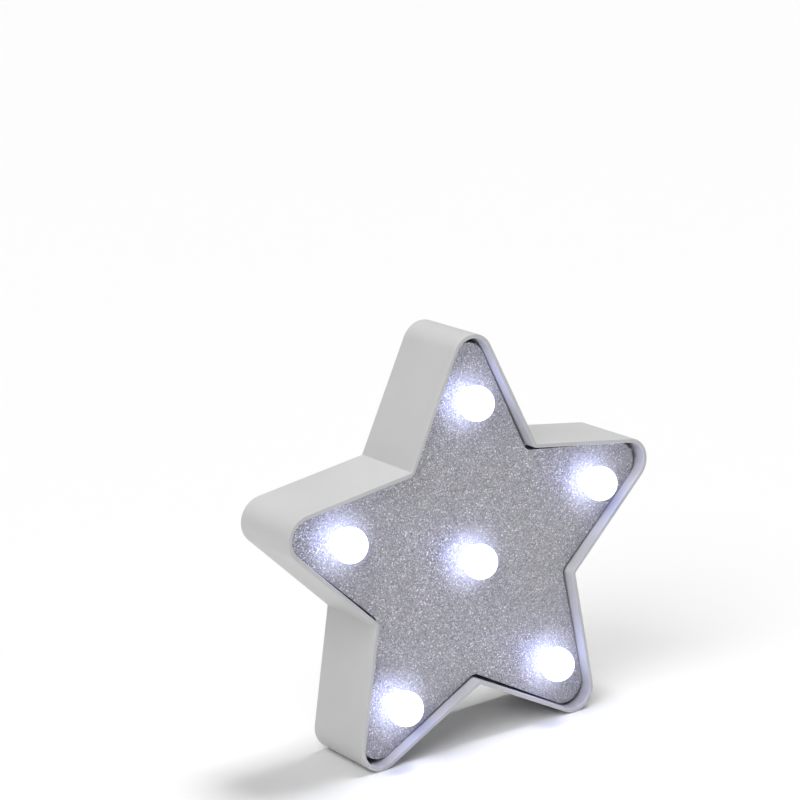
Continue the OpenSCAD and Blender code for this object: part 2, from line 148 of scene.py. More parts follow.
class StarFinish(bpy.types.PropertyGroup):
    """Colours and light of the star."""
    shell: colour("Shell", "Pale grey of the moulded plastic", "#C2C2C2")
    glitter: colour("Glitter", "Grey-lilac of most flakes", "#ADACB1")
    # The dark and bright flake colours are painted shade and painted glints, given to flakes at random.
    glitter_painted_shade: colour("Glitter, dark", "The flakes that lie in shade", "#7E7D83")
    glitter_painted_glint: colour("Glitter, bright", "The flakes that catch the light", "#FCFCFF")
    glow: colour("Glow", "Cold blue-white of the LEDs", "#B4BCFF")
    # Colour of the pools of painted light: emission painted into the glitter paper round each globe, standing
    # in for light leaking round the collars.
    pool: colour("Light pools", "Light that leaks onto the face round each globe", "#E6EAFF")
    glow_strength: FloatProperty(name="Globe light", default=3.2,
                                 description="How strongly the globes shine")
    # Strength of the painted light pools' emission on the glitter paper.
    painted_pool_strength: FloatProperty(name="Pool light", default=0.3,
                                 description="How strongly the glitter round each globe is lit through")


class StageSettings(bpy.types.PropertyGroup):
    """Camera and light."""
    azimuth: FloatProperty(name="Azimuth", description="Camera's way round the star, 0 in front",
                           default=math.radians(-35.07), subtype="ANGLE")
    elevation: FloatProperty(name="Elevation", description="Camera's height above level",
                             default=math.radians(15.0), subtype="ANGLE")
    roll: FloatProperty(name="Roll", description="Camera's turn about its own axis",
                        default=math.radians(-1.76), subtype="ANGLE")
    distance: length("Distance", "From the camera to the point it looks at", 927.84)
    aim_x: length("Aim, right", "How far right of the star's centre the camera looks", -32.24)
    aim_z: length("Aim, up", "How far above the star's centre the camera looks", 66.30)
    lens: FloatProperty(name="Focal length", default=119.24,
                        description="Camera's focal length in millimetres")
    floor: colour("Floor", "Pale floor", "#EAEAEA")
    sky: FloatProperty(name="Sky", description="Strength of the even white light from all round", default=0.2)


# ---------------------------------------------------------------------------------------------------------
# Materials
# ---------------------------------------------------------------------------------------------------------

def connect(node, sockets):
    """Sets each of a node's sockets, or links it where the value is another node's output."""
    for name, value in sockets.items():
        if isinstance(value, bpy.types.NodeSocket):
            node.id_data.links.new(value, node.inputs[name])
        else:
            node.inputs[name].default_value = value


def add(tree, kind, sockets=None, stops=(), **settings):
    """Adds a node with its settings, its colour stops as (position, colour), and its sockets and links."""
    node = tree.nodes.new(kind)
    for name, value in settings.items():
        setattr(node, name, value)
    if stops:
        elements = node.color_ramp.elements
        while len(elements) < len(stops):
            elements.new(0.5)
        for element, (position, value) in zip(elements, stops):
            element.position, element.color = position, value
    connect(node, sockets or {})
    return node


def start_material(name, sockets):
    """Starts a material and returns it with its tree, its shader and the Object coordinates."""
    material = bpy.data.materials.new(name)
    material.use_nodes = True
    tree = material.node_tree
    shader = tree.nodes["Principled BSDF"]
    connect(shader, sockets)
    return material, tree, shader, add(tree, "ShaderNodeTexCoord").outputs["Object"]


def shade(value, factor):
    """Returns a colour made lighter or darker."""
    return (*[min(1.0, c * factor) for c in value[:3]], 1.0)


def moulded_abs(name, value, roughness=0.46, grain_mm=0.22):
    """ABS, or a like plastic, injection moulded in a spark-eroded tool.

    To the eye it is satin and even: a soft highlight, broken by a fine grain, over a colour that drifts
    faintly where the melt flowed. The grain is drawn about twice as coarse as the real one, so that it shows.
    """
    flow_mm, grain_depth_mm, gloss_drift = 28, 0.02, 0.05
    material, tree, shader, where = start_material(name, {"IOR": 1.53})
    flow = add(tree, "ShaderNodeTexNoise", {"Vector": where, "Scale": 1 / (flow_mm * MM), "Detail": 3.0})
    grain = add(tree, "ShaderNodeTexNoise", {"Vector": where, "Scale": 1 / (grain_mm * MM), "Detail": 3.0,
                                             "Roughness": 0.62})
    tint = add(tree, "ShaderNodeValToRGB", {"Fac": flow.outputs["Fac"]},
               [(0.3, shade(value, 0.965)), (0.7, shade(value, 1.02))])
    satin = add(tree, "ShaderNodeMapRange", {"Value": flow.outputs["Fac"], "From Min": 0.3, "From Max": 0.7,
                                             "To Min": roughness - gloss_drift,
                                             "To Max": roughness + gloss_drift})
    bump = add(tree, "ShaderNodeBump", {"Height": grain.outputs["Fac"], "Strength": 0.35,
                                        "Distance": grain_depth_mm * MM})
    connect(shader, {"Base Color": tint.outputs["Color"], "Roughness": satin.outputs["Result"],
                     "Normal": bump.outputs["Normal"]})
    return material


def glitter_paper(name, finish, spots):
    """Paper coated with cut film flakes, bonded in a clear lacquer.

    Each flake lies at its own tilt and gets a random tone, from painted shade to painted glints, so to the
    eye the sheet is a grey-lilac ground with single bright sparks. Round each globe a pool of painted light,
    emission in the paper itself, stands in for the light that leaks round the globes' collars.
    """
    flake_mm, patch_mm, tilt = 0.35, 2.2, 0.4
    spark_low, spark_high = 0.45, 1.55
    material, tree, shader, where = start_material(name, {"Metallic": 0.35, "Roughness": 0.42,
                                                          "Emission Color": finish.pool[:]})
    flakes = add(tree, "ShaderNodeTexVoronoi", {"Vector": where, "Scale": 1 / (flake_mm * MM)})
    random = add(tree, "ShaderNodeSeparateColor", {"Color": flakes.outputs["Color"]})
    # Random tone per flake: the dark end of the ramp is painted shade and the bright end painted glints, on
    # top of the real tilt of each flake's normal.
    dark, mid, bright = finish.glitter_painted_shade[:], finish.glitter[:], finish.glitter_painted_glint[:]
    flake = add(tree, "ShaderNodeValToRGB", {"Fac": random.outputs["Red"]}, [
        (0.0, dark), (0.3, shade(mid, 0.9)), (0.6, mid), (0.88, shade(mid, 1.3)), (0.94, shade(mid, 1.9)),
        (1.0, bright)])
    patch = add(tree, "ShaderNodeTexNoise", {"Vector": where, "Scale": 1 / (patch_mm * MM), "Detail": 2.0})
    uneven = add(tree, "ShaderNodeValToRGB", {"Fac": patch.outputs["Fac"]},
                 [(0.3, (0.94, 0.94, 0.94, 1)), (0.7, (1, 1, 1, 1))])
    base = add(tree, "ShaderNodeMix", {0: 1.0, 6: flake.outputs["Color"], 7: uneven.outputs["Color"]},
               data_type="RGBA", blend_type="MULTIPLY")
    centred = add(tree, "ShaderNodeVectorMath", {0: flakes.outputs["Color"], 1: (0.5, 0.5, 0.5)},
                  operation="SUBTRACT")
    tilted = add(tree, "ShaderNodeVectorMath", {0: centred.outputs[0], "Scale": tilt}, operation="SCALE")
    facing = add(tree, "ShaderNodeNewGeometry").outputs["Normal"]
    leaning = add(tree, "ShaderNodeVectorMath", {0: tilted.outputs[0], 1: facing}, operation="ADD")
    normal = add(tree, "ShaderNodeVectorMath", {0: leaning.outputs[0]}, operation="NORMALIZE")
    # Painted light: a pool of emission round each globe, scaled per flake into painted sparkle, stands in for
    # light leaking round the collars.
    glow = painted_light_pools(tree, where, spots)
    lit = add(tree, "ShaderNodeMath", {0: glow, 1: finish.painted_pool_strength}, operation="MULTIPLY")
    sparkle = add(tree, "ShaderNodeMapRange", {"Value": random.outputs["Green"], "To Min": spark_low,
                                               "To Max": spark_high})
    painted_pool_sparkle = add(tree, "ShaderNodeMath", {0: lit.outputs[0], 1: sparkle.outputs["Result"]},
                    operation="MULTIPLY")
    connect(shader, {"Base Color": base.outputs[2], "Normal": normal.outputs[0],
                     "Emission Strength": painted_pool_sparkle.outputs[0]})
    return material


def painted_light_pools(tree, where, spots):
    """Adds up one soft round pool of painted light round each spot, full at a globe's edge, and returns the
    sum.
    """
    full_mm, gone_mm = 6.5, 14.5
    total = None
    for spot in spots:
        away = add(tree, "ShaderNodeVectorMath", {0: where, 1: spot}, operation="DISTANCE")
        pool = add(tree, "ShaderNodeMapRange", {"Value": away.outputs["Value"], "From Min": gone_mm * MM,
                                                "From Max": full_mm * MM})
        if total is None:
            total = pool.outputs["Result"]
        else:
            total = add(tree, "ShaderNodeMath", {0: total, 1: pool.outputs["Result"]}).outputs[0]
    return total


def frosted_globe(name, finish):
    """Polystyrene, blow moulded and frosted, with an LED inside.

    The frost spreads the light, so to the eye the whole globe is one even cold-white glow without a hot spot.
    """
    frost_mm, frost_depth_mm = 0.5, 0.02
    material, tree, shader, where = start_material(name, {
        "Roughness": 0.38, "IOR": 1.59, "Base Color": linear("#F4F6FB"), "Emission Color": finish.glow[:]})
    frost = add(tree, "ShaderNodeTexNoise", {"Vector": where, "Scale": 1 / (frost_mm * MM), "Detail": 2.0})
    uneven = add(tree, "ShaderNodeMapRange", {"Value": frost.outputs["Fac"], "To Min": 0.93, "To Max": 1.07})
    power = add(tree, "ShaderNodeMath", {0: uneven.outputs["Result"], 1: finish.glow_strength},
                operation="MULTIPLY")
    bump = add(tree, "ShaderNodeBump", {"Height": frost.outputs["Fac"], "Strength": 0.2,
                                        "Distance": frost_depth_mm * MM})
    connect(shader, {"Emission Strength": power.outputs[0], "Normal": bump.outputs["Normal"]})
    return material


def clear_epoxy(name, finish):
    """Water-clear epoxy, cast round an LED's chip: glossy, with a faint haze, and lit from within."""
    haze_mm = 0.8
    material, tree, shader, where = start_material(name, {
        "IOR": 1.54, "Base Color": linear("#E6ECFA"), "Emission Strength": 4.0,
        "Emission Color": finish.glow[:]})
    haze = add(tree, "ShaderNodeTexNoise", {"Vector": where, "Scale": 1 / (haze_mm * MM), "Detail": 2.0})
    gloss = add(tree, "ShaderNodeMapRange", {"Value": haze.outputs["Fac"], "To Min": 0.08, "To Max": 0.16})
    connect(shader, {"Roughness": gloss.outputs["Result"]})
    return material


def plated_steel(name, value, roughness):
    """Steel strip, wire or screws, barrel plated with zinc, nickel or tin, and solder, which looks the same.

    To the eye it is bright metal, slightly cloudy, with highlights that blur a little from spot to spot.
    """
    cloud_mm, cloud_depth_mm = 0.35, 0.01
    material, tree, shader, where = start_material(name, {"Metallic": 1.0})
    cloud = add(tree, "ShaderNodeTexNoise", {"Vector": where, "Scale": 1 / (cloud_mm * MM), "Detail": 4.0})
    tint = add(tree, "ShaderNodeValToRGB", {"Fac": cloud.outputs["Fac"]},
               [(0.3, shade(value, 0.9)), (0.7, value)])
    dull = add(tree, "ShaderNodeMapRange", {"Value": cloud.outputs["Fac"], "From Min": 0.3, "From Max": 0.7,
                                            "To Min": roughness - 0.06, "To Max": roughness + 0.08})
    bump = add(tree, "ShaderNodeBump", {"Height": cloud.outputs["Fac"], "Strength": 0.15,
                                        "Distance": cloud_depth_mm * MM})
    connect(shader, {"Base Color": tint.outputs["Color"], "Roughness": dull.outputs["Result"],
                     "Normal": bump.outputs["Normal"]})
    return material


def fibres_or_cells(name, dark, light, speck_mm, roughness, depth_mm=0.02):
    """Pressed fibre board, phenolic paper or foam: dull, in two close shades of speck, with a fine relief."""
    material, tree, shader, where = start_material(name, {"Roughness": roughness})
    specks = add(tree, "ShaderNodeTexNoise", {"Vector": where, "Scale": 1 / (speck_mm * MM), "Detail": 5.0,
                                              "Roughness": 0.6})
    tint = add(tree, "ShaderNodeValToRGB", {"Fac": specks.outputs["Fac"]}, [(0.35, dark), (0.65, light)])
    bump = add(tree, "ShaderNodeBump", {"Height": specks.outputs["Fac"], "Strength": 0.5,
                                        "Distance": depth_mm * MM})
    connect(shader, {"Base Color": tint.outputs["Color"], "Normal": bump.outputs["Normal"]})
    return material


def printed_bands(name, along, start, stops, roughness=0.3):
    """Shrunk film or lacquer, printed in crisp bands across a piece, glossy with a faint orange peel.

    Each stop is (distance from the start in millimetres, colour), and the last one only ends the row.
    """
    peel_mm, peel_depth_mm = 0.6, 0.02
    span = stops[-1][0] * MM
    material, tree, shader, where = start_material(name, {"Roughness": roughness})
    from_start = add(tree, "ShaderNodeVectorMath", {0: where, 1: start}, operation="SUBTRACT")
    reach = add(tree, "ShaderNodeVectorMath", {0: from_start.outputs[0], 1: along}, operation="DOT_PRODUCT")
    share = add(tree, "ShaderNodeMath", {0: reach.outputs["Value"], 1: span}, operation="DIVIDE")
    tint = add(tree, "ShaderNodeValToRGB", {"Fac": share.outputs[0]},
               [(distance * MM / span, value) for distance, value in stops[:-1]])
    tint.color_ramp.interpolation = "CONSTANT"
    peel = add(tree, "ShaderNodeTexNoise", {"Vector": where, "Scale": 1 / (peel_mm * MM), "Detail": 3.0})
    bump = add(tree, "ShaderNodeBump", {"Height": peel.outputs["Fac"], "Strength": 0.15,
                                        "Distance": peel_depth_mm * MM})
    connect(shader, {"Base Color": tint.outputs["Color"], "Normal": bump.outputs["Normal"]})
    return material


def finish_nodes(material, *nodes):
    """Gives CAD nodes, whose shape is right, their material."""
    for node in nodes:
        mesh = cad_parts[node].data
        mesh.materials.clear()
        mesh.materials.append(material)


# ---------------------------------------------------------------------------------------------------------
# Shapes
# ---------------------------------------------------------------------------------------------------------

def polar(reach, angle):
    """Returns a step in the star's plane, so long and at so many degrees from the right."""
    return Vector((reach * math.cos(math.radians(angle)), 0, reach * math.sin(math.radians(angle))))


def arm_angle(arm):
    """Returns the angle of an arm's axis. Arm 0 points up, and the rest follow anticlockwise."""
    return 90 + 360 / ARMS * arm


def at_depth(y):
    """Returns the star's centre at a level along Y."""
    return Vector((STAR_X, y, STAR_Z))


def draw_arc(bm, centre, radius, start, turn, steps):
    """Draws an arc of edges about Y and returns its first and last points."""
    first = bm.verts.new(centre + polar(radius, start))
    spun = bmesh.ops.spin(bm, geom=[first], cent=centre, axis=(0, -1, 0), angle=math.radians(turn),
                          steps=steps, use_merge=False, use_duplicate=False)
    return first, [g for g in spun["geom_last"] if isinstance(g, bmesh.types.BMVert)][0]


def star_angles(sizes):
    """Returns half the angle of a tip, and the angle between an inner corner's middle and its sides."""
    fifth = math.radians(180 / ARMS)
    rise = sizes.inner_r * math.sin(fifth)
    half_tip = math.atan2(rise, sizes.tip_r - sizes.inner_r * math.cos(fifth))
    return half_tip, half_tip + fifth


def tip_centre(sizes, inset, tip_round):
    """Returns how far from the star's centre a tip's rounding is centred."""
    half_tip, _ = star_angles(sizes)
    return sizes.tip_r - (inset + tip_round) / math.sin(half_tip)


def draw_star(bm, sizes, inset, y, tip_round=None, cut=0.0, shift=Vector()):
    """Draws one star outline, so far inside the star's outer face, and returns its edges."""
    tip_steps, corner_steps = 18, 4
    half_tip, half_corner = star_angles(sizes)
    if tip_round is None:
        tip_round = sizes.tip_round - inset
    tip_turn = 90 - math.degrees(half_tip)
    corner_turn = 90 - math.degrees(half_corner)
    corner_r = sizes.corner_round + inset + cut
    corner_out = sizes.inner_r + sizes.corner_round / math.sin(half_corner)
    before = set(bm.edges)
    ends = []
    for arm in range(ARMS):
        angle = arm_angle(arm)
        tip = at_depth(y) + shift + polar(tip_centre(sizes, inset, tip_round), angle)
        ends.append(draw_arc(bm, tip, tip_round, angle - tip_turn, 2 * tip_turn, tip_steps))
        between = angle + 180 / ARMS
        corner = at_depth(y) + shift + polar(corner_out, between)
        start = between + 180 + corner_turn
        ends.append(draw_arc(bm, corner, corner_r, start, -2 * corner_turn, corner_steps))
    for (_, last), (first, _) in zip(ends, ends[1:] + ends[:1]):
        bm.edges.new((last, first))
    return [edge for edge in bm.edges if edge not in before]


def turned(bm, profile, place, steps=40):
    """Turns a profile of (radius, height) points about Z, closes its poles and puts it in place."""
    before = set(bm.verts)
    points = [bm.verts.new((radius, 0, height)) for radius, height in profile]
    lines = [bm.edges.new(pair) for pair in zip(points, points[1:])]
    bmesh.ops.spin(bm, geom=points + lines, cent=(0, 0, 0), axis=(0, 0, 1), angle=math.tau, steps=steps,
                   use_merge=True, use_duplicate=False)
    made = [v for v in bm.verts if v not in before]
    bmesh.ops.remove_doubles(bm, verts=made, dist=1e-7)
    bmesh.ops.transform(bm, matrix=place, verts=[v for v in bm.verts if v not in before])


def quarter(centre, radius, start, turn, steps):
    """Returns the points of an arc in a profile, as (radius, height)."""
    angles = [math.radians(start + turn * i / steps) for i in range(steps + 1)]
    return [(centre[0] + radius * math.cos(a), centre[1] + radius * math.sin(a)) for a in angles]


def block(bm, corner_a, corner_b):
    """Adds a closed box between two corners and returns its points."""
    a, b = Vector(corner_a), Vector(corner_b)
    size = Matrix.Diagonal((*[abs(d) for d in b - a], 1))
    return bmesh.ops.create_cube(bm, size=1, matrix=Matrix.Translation((a + b) / 2) @ size)["verts"]


def extrude(bm, faces, way):
    """Turns flat faces into closed solids, so long and in this direction."""
    grown = bmesh.ops.extrude_face_region(bm, geom=faces, use_keep_orig=True)["geom"]
    bmesh.ops.translate(bm, vec=way, verts=[g for g in grown if isinstance(g, bmesh.types.BMVert)])
    bmesh.ops.recalc_face_normals(bm, faces=bm.faces)


def round_edges(bm, edges, radius, segments):
    """Rounds edges."""
    bmesh.ops.bevel(bm, geom=list(edges), offset=radius, offset_type="OFFSET", segments=segments, profile=0.5,
                    affect="EDGES", clamp_overlap=True, material=-1)


def sharp_edges(bm):
    """Returns the edges where the surface turns sharply."""
    return [e for e in bm.edges if e.is_manifold and e.calc_face_angle() > math.radians(SHARP_ANGLE)]


def piece(name, bm, material, body=BODY, stands_for=()):
    """Makes a finished piece from a bmesh: smooth faces, crisp edges, riding on its body."""
    bmesh.ops.recalc_face_normals(bm, faces=bm.faces)
    mesh = bpy.data.meshes.new(name)
    bm.to_mesh(mesh)
    bm.free()
    mesh.shade_smooth()
    mesh.set_sharp_from_angle(angle=math.radians(SMOOTH_ANGLE))
    mesh.materials.append(material)
    made = bpy.data.objects.new(name, mesh)
    bpy.context.scene.collection.objects.link(made)
    flat = made.modifiers.new("flat faces stay flat", "WEIGHTED_NORMAL")
    flat.keep_sharp = True
    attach(made, body)
    if stands_for:
        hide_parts(*stands_for)
    return made


def carve(made, cutter_bm):
    """Cuts a shape out of a piece."""
    mesh = bpy.data.meshes.new("cutter")
    bmesh.ops.recalc_face_normals(cutter_bm, faces=cutter_bm.faces)
    cutter_bm.to_mesh(mesh)
    cutter_bm.free()
    cutter = bpy.data.objects.new("cutter", mesh)
    bpy.context.scene.collection.objects.link(cutter)
    cut = made.modifiers.new("cut", "BOOLEAN")
    cut.operation = "DIFFERENCE"
    cut.solver = "EXACT"
    cut.use_self = True
    cut.object = cutter
    made.modifiers.move(len(made.modifiers) - 1, 0)
    with_others = [m for m in made.modifiers if m != cut]
    for other in with_others:
        other.show_viewport = False
    graph = bpy.context.evaluated_depsgraph_get()
    result = bpy.data.meshes.new_from_object(made.evaluated_get(graph), depsgraph=graph)
    made.modifiers.remove(cut)
    for other in with_others:
        other.show_viewport = True
    made.data = result
    result.name = made.name
    result.shade_smooth()
    result.set_sharp_from_angle(angle=math.radians(SMOOTH_ANGLE))
    bpy.data.objects.remove(cutter)
    bpy.data.meshes.remove(mesh)


def merged_copy(node):
    """Returns a bmesh of a CAD node with its loose triangles merged and its flat faces made whole."""
    bm = bmesh.new()
    bm.from_mesh(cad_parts[node].data)
    bmesh.ops.remove_doubles(bm, verts=bm.verts, dist=1e-6)
    bmesh.ops.dissolve_limit(bm, angle_limit=math.radians(0.4), use_dissolve_boundaries=False, verts=bm.verts,
                             edges=bm.edges, delimit=set())
    return bm


def shell_material():
    """Returns the housing's plastic, made once."""
    name = "moulded_abs_pale_grey"
    return bpy.data.materials.get(name) or moulded_abs(name, bpy.context.scene.star_finish.shell[:])


# ---------------------------------------------------------------------------------------------------------
# Pieces
# ---------------------------------------------------------------------------------------------------------

class STAR_OT_housing(bpy.types.Operator):
    """Star-shaped ring wall with a rounded rim, and the posts and ribs inside it"""
    bl_idname = "star_light.housing"
    bl_label = "Housing"

    def execute(self, context):
        sizes = context.scene.star_sizes
        bm = bmesh.new()
        rings = {(inset, y): draw_star(bm, sizes, inset, y) for inset in (0, sizes.wall) for y in (RIM, BACK)}
        outer_front, outer_back = rings[(0, RIM)], rings[(0, BACK)]
        inner_front, inner_back = rings[(sizes.wall, RIM)], rings[(sizes.wall, BACK)]
        for pair in ((outer_front, inner_front), (outer_front, outer_back), (inner_front, inner_back),
                     (outer_back, inner_back)):
            bmesh.ops.bridge_loops(bm, edges=pair[0] + pair[1])
        bmesh.ops.recalc_face_normals(bm, faces=bm.faces)
        front = [e for e in sharp_edges(bm) if max(v.co.y for v in e.verts) < RIM + sizes.rim_round / 10]
        round_edges(bm, front, sizes.rim_round, 4)
        back = [e for e in sharp_edges(bm) if min(v.co.y for v in e.verts) > BACK - sizes.rim_round / 10]
        round_edges(bm, back, sizes.back_round, 3)
        piece("housing_shell", bm, shell_material(), stands_for=["housing"])
        piece("housing_posts", self.posts(sizes), shell_material())
        return {"FINISHED"}

    def posts(self, sizes):
        """Draws the screw posts, the ribs that tie them to the tips, and the ribs in the inner corners."""
        pad_t, cover_room, rib_t, bite = 0.5 * MM, 4.2 * MM, 1.4 * MM, 0.5 * MM
        end_round, mouth, pilot_depth, corner_rib_from = 0.3 * MM, 0.2 * MM, 12 * MM, 40 * MM
        front = low("face_pads").y + pad_t
        back = BACK - cover_room
        tip_turn = 90 - math.degrees(star_angles(sizes)[0])
        bm = bmesh.new()
        for arm in range(ARMS):
            spot = polar(tip_centre(sizes, 0, sizes.tip_round), arm_angle(arm))
            turned(bm, [(0, front), (sizes.post_r, front), (sizes.post_r, back - end_round),
                        (sizes.post_r - end_round, back), (sizes.pilot_r + mouth, back),
                        (sizes.pilot_r, back - mouth), (sizes.pilot_r, back - pilot_depth),
                        (0, back - pilot_depth - sizes.pilot_r)],
                   Matrix.Translation(at_depth(0) + spot) @ ALONG_Y, 32)
            for lean in (-tip_turn, 0, tip_turn):
                rib = block(bm, (sizes.post_r - bite, front, -rib_t / 2),
                            (sizes.tip_round - sizes.wall + bite, back, rib_t / 2))
                turn = Matrix.Rotation(math.radians(-arm_angle(arm) - lean), 4, "Y")
                bmesh.ops.transform(bm, matrix=Matrix.Translation(at_depth(0) + spot) @ turn, verts=rib)
            corner = sizes.inner_r * (1 - sizes.wall / (sizes.tip_r * math.sin(star_angles(sizes)[0])))
            rib = block(bm, (corner_rib_from, front, -rib_t / 2), (corner + bite, back, rib_t / 2))
            turn = Matrix.Rotation(math.radians(-arm_angle(arm) - 180 / ARMS), 4, "Y")
            bmesh.ops.transform(bm, matrix=Matrix.Translation(at_depth(0)) @ turn, verts=rib)
        return bm


class STAR_OT_face(bpy.types.Operator):
    """Glitter paper on its board, with a hole for each globe"""
    bl_idname = "star_light.face"
    bl_label = "Glitter face"

    def execute(self, context):
        finish = context.scene.star_finish
        sheet_edge, board_edge = 0.06 * MM, 0.1 * MM
        spots = [middle(f"globe_{p}") for p in PLACES]
        sheet_back = high("glitter_sheet").y
        paper = glitter_paper("glitter_paper_grey", finish, [Vector((s.x, SHEET_FRONT, s.z)) for s in spots])
        self.plate("glitter_face", SHEET_FRONT, sheet_back, spots, sheet_edge, paper, "glitter_sheet",
                   "glitter_paper")
        board = fibres_or_cells("pressed_grey_board", linear("#4A4846"), linear("#5C5A57"), 0.6, 0.85, 0.05)
        self.plate("face_backing", sheet_back, BOARD_BACK, spots, board_edge, board, "face_board",
                   "face_board")
        foam = fibres_or_cells("foam_tape_white", linear("#D8D7D2"), linear("#F0EFEA"), 0.3, 0.9, 0.08)
        finish_nodes(foam, "face_pads")
        return {"FINISHED"}

    def plate(self, name, front, back, spots, edge, material, node, slot):
        """Makes a star plate with holes. It sits a little low and to the right in its gap."""
        sizes = bpy.context.scene.star_sizes
        shift = Vector((0.25 * MM, 0, -0.2 * MM))
        hole_steps = 48
        bm = bmesh.new()
        edges = draw_star(bm, sizes, sizes.wall + sizes.face_gap, front, sizes.face_tip, sizes.face_cut,
                          shift)
        for spot in spots:
            centre = Matrix.Translation((spot.x, front, spot.z)) @ ALONG_Y
            ring = bmesh.ops.create_circle(bm, segments=hole_steps, radius=sizes.hole_r, matrix=centre)
            edges += list({e for v in ring["verts"] for e in v.link_edges})
        bmesh.ops.triangle_fill(bm, use_beauty=True, use_dissolve=False, edges=edges)
        extrude(bm, bm.faces[:], (0, back - front, 0))
        round_edges(bm, [e for e in sharp_edges(bm) if max(v.co.y for v in e.verts) < front + edge / 10],
                    edge, 2)
        piece(name, bm, material, stands_for=[node])


class STAR_OT_globes(bpy.types.Operator):
    """Six frosted hollow globes, each with a collar on the face and a neck through it"""
    bl_idname = "star_light.globes"
    bl_label = "Globes"

    def execute(self, context):
        g = context.scene.globe_sizes
        material = frosted_globe("frosted_polystyrene_lit", context.scene.star_finish)
        middle_y = RIM - g.out
        collar_front = SHEET_FRONT - g.collar_t
        inner_r = g.globe_r - g.shell
        soft = 0.2 * MM
        meet = math.degrees(math.asin((collar_front - middle_y) / g.globe_r))
        inside = math.degrees(math.acos(g.neck_bore / inner_r))
        profile = quarter((0, middle_y), g.globe_r, -90, 90 + meet, 22)
        profile += quarter((g.collar_r - soft, collar_front + soft), soft, -90, 90, 3)
        profile += [(g.collar_r, SHEET_FRONT), (g.neck_r, SHEET_FRONT), (g.neck_r, BOARD_BACK - soft),
                    (g.neck_r - soft, BOARD_BACK), (g.neck_bore, BOARD_BACK)]
        profile += quarter((0, middle_y), inner_r, inside, -90 - inside, 18)
        profile[0] = (0, profile[0][1])
        profile[-1] = (0, profile[-1][1])
        for place in PLACES:
            bm = bmesh.new()
            spot = middle(f"globe_{place}")
            turned(bm, profile, Matrix.Translation((spot.x, 0, spot.z)) @ ALONG_Y, 48)
            piece(f"globe_shell_{place}", bm, material, stands_for=[f"globe_{place}"])
        return {"FINISHED"}


class STAR_OT_lamps(bpy.types.Operator):
    """LEDs, the plugs that hold them, their legs and their solder"""
    bl_idname = "star_light.lamps"
    bl_label = "Lamps"

    def execute(self, context):
        epoxy = clear_epoxy("clear_epoxy_led", context.scene.star_finish)
        finish_nodes(epoxy, *[f"led_{p}" for p in PLACES])
        finish_nodes(moulded_abs("moulded_plug_white", linear("#EDEDEA")), *[f"socket_{p}" for p in PLACES])
        finish_nodes(plated_steel("tinned_steel_legs", linear("#C9CBCD"), 0.3), "led_leads")
        finish_nodes(plated_steel("solder_dull", linear("#B4B6B9"), 0.45), "solder_beads")
        return {"FINISHED"}


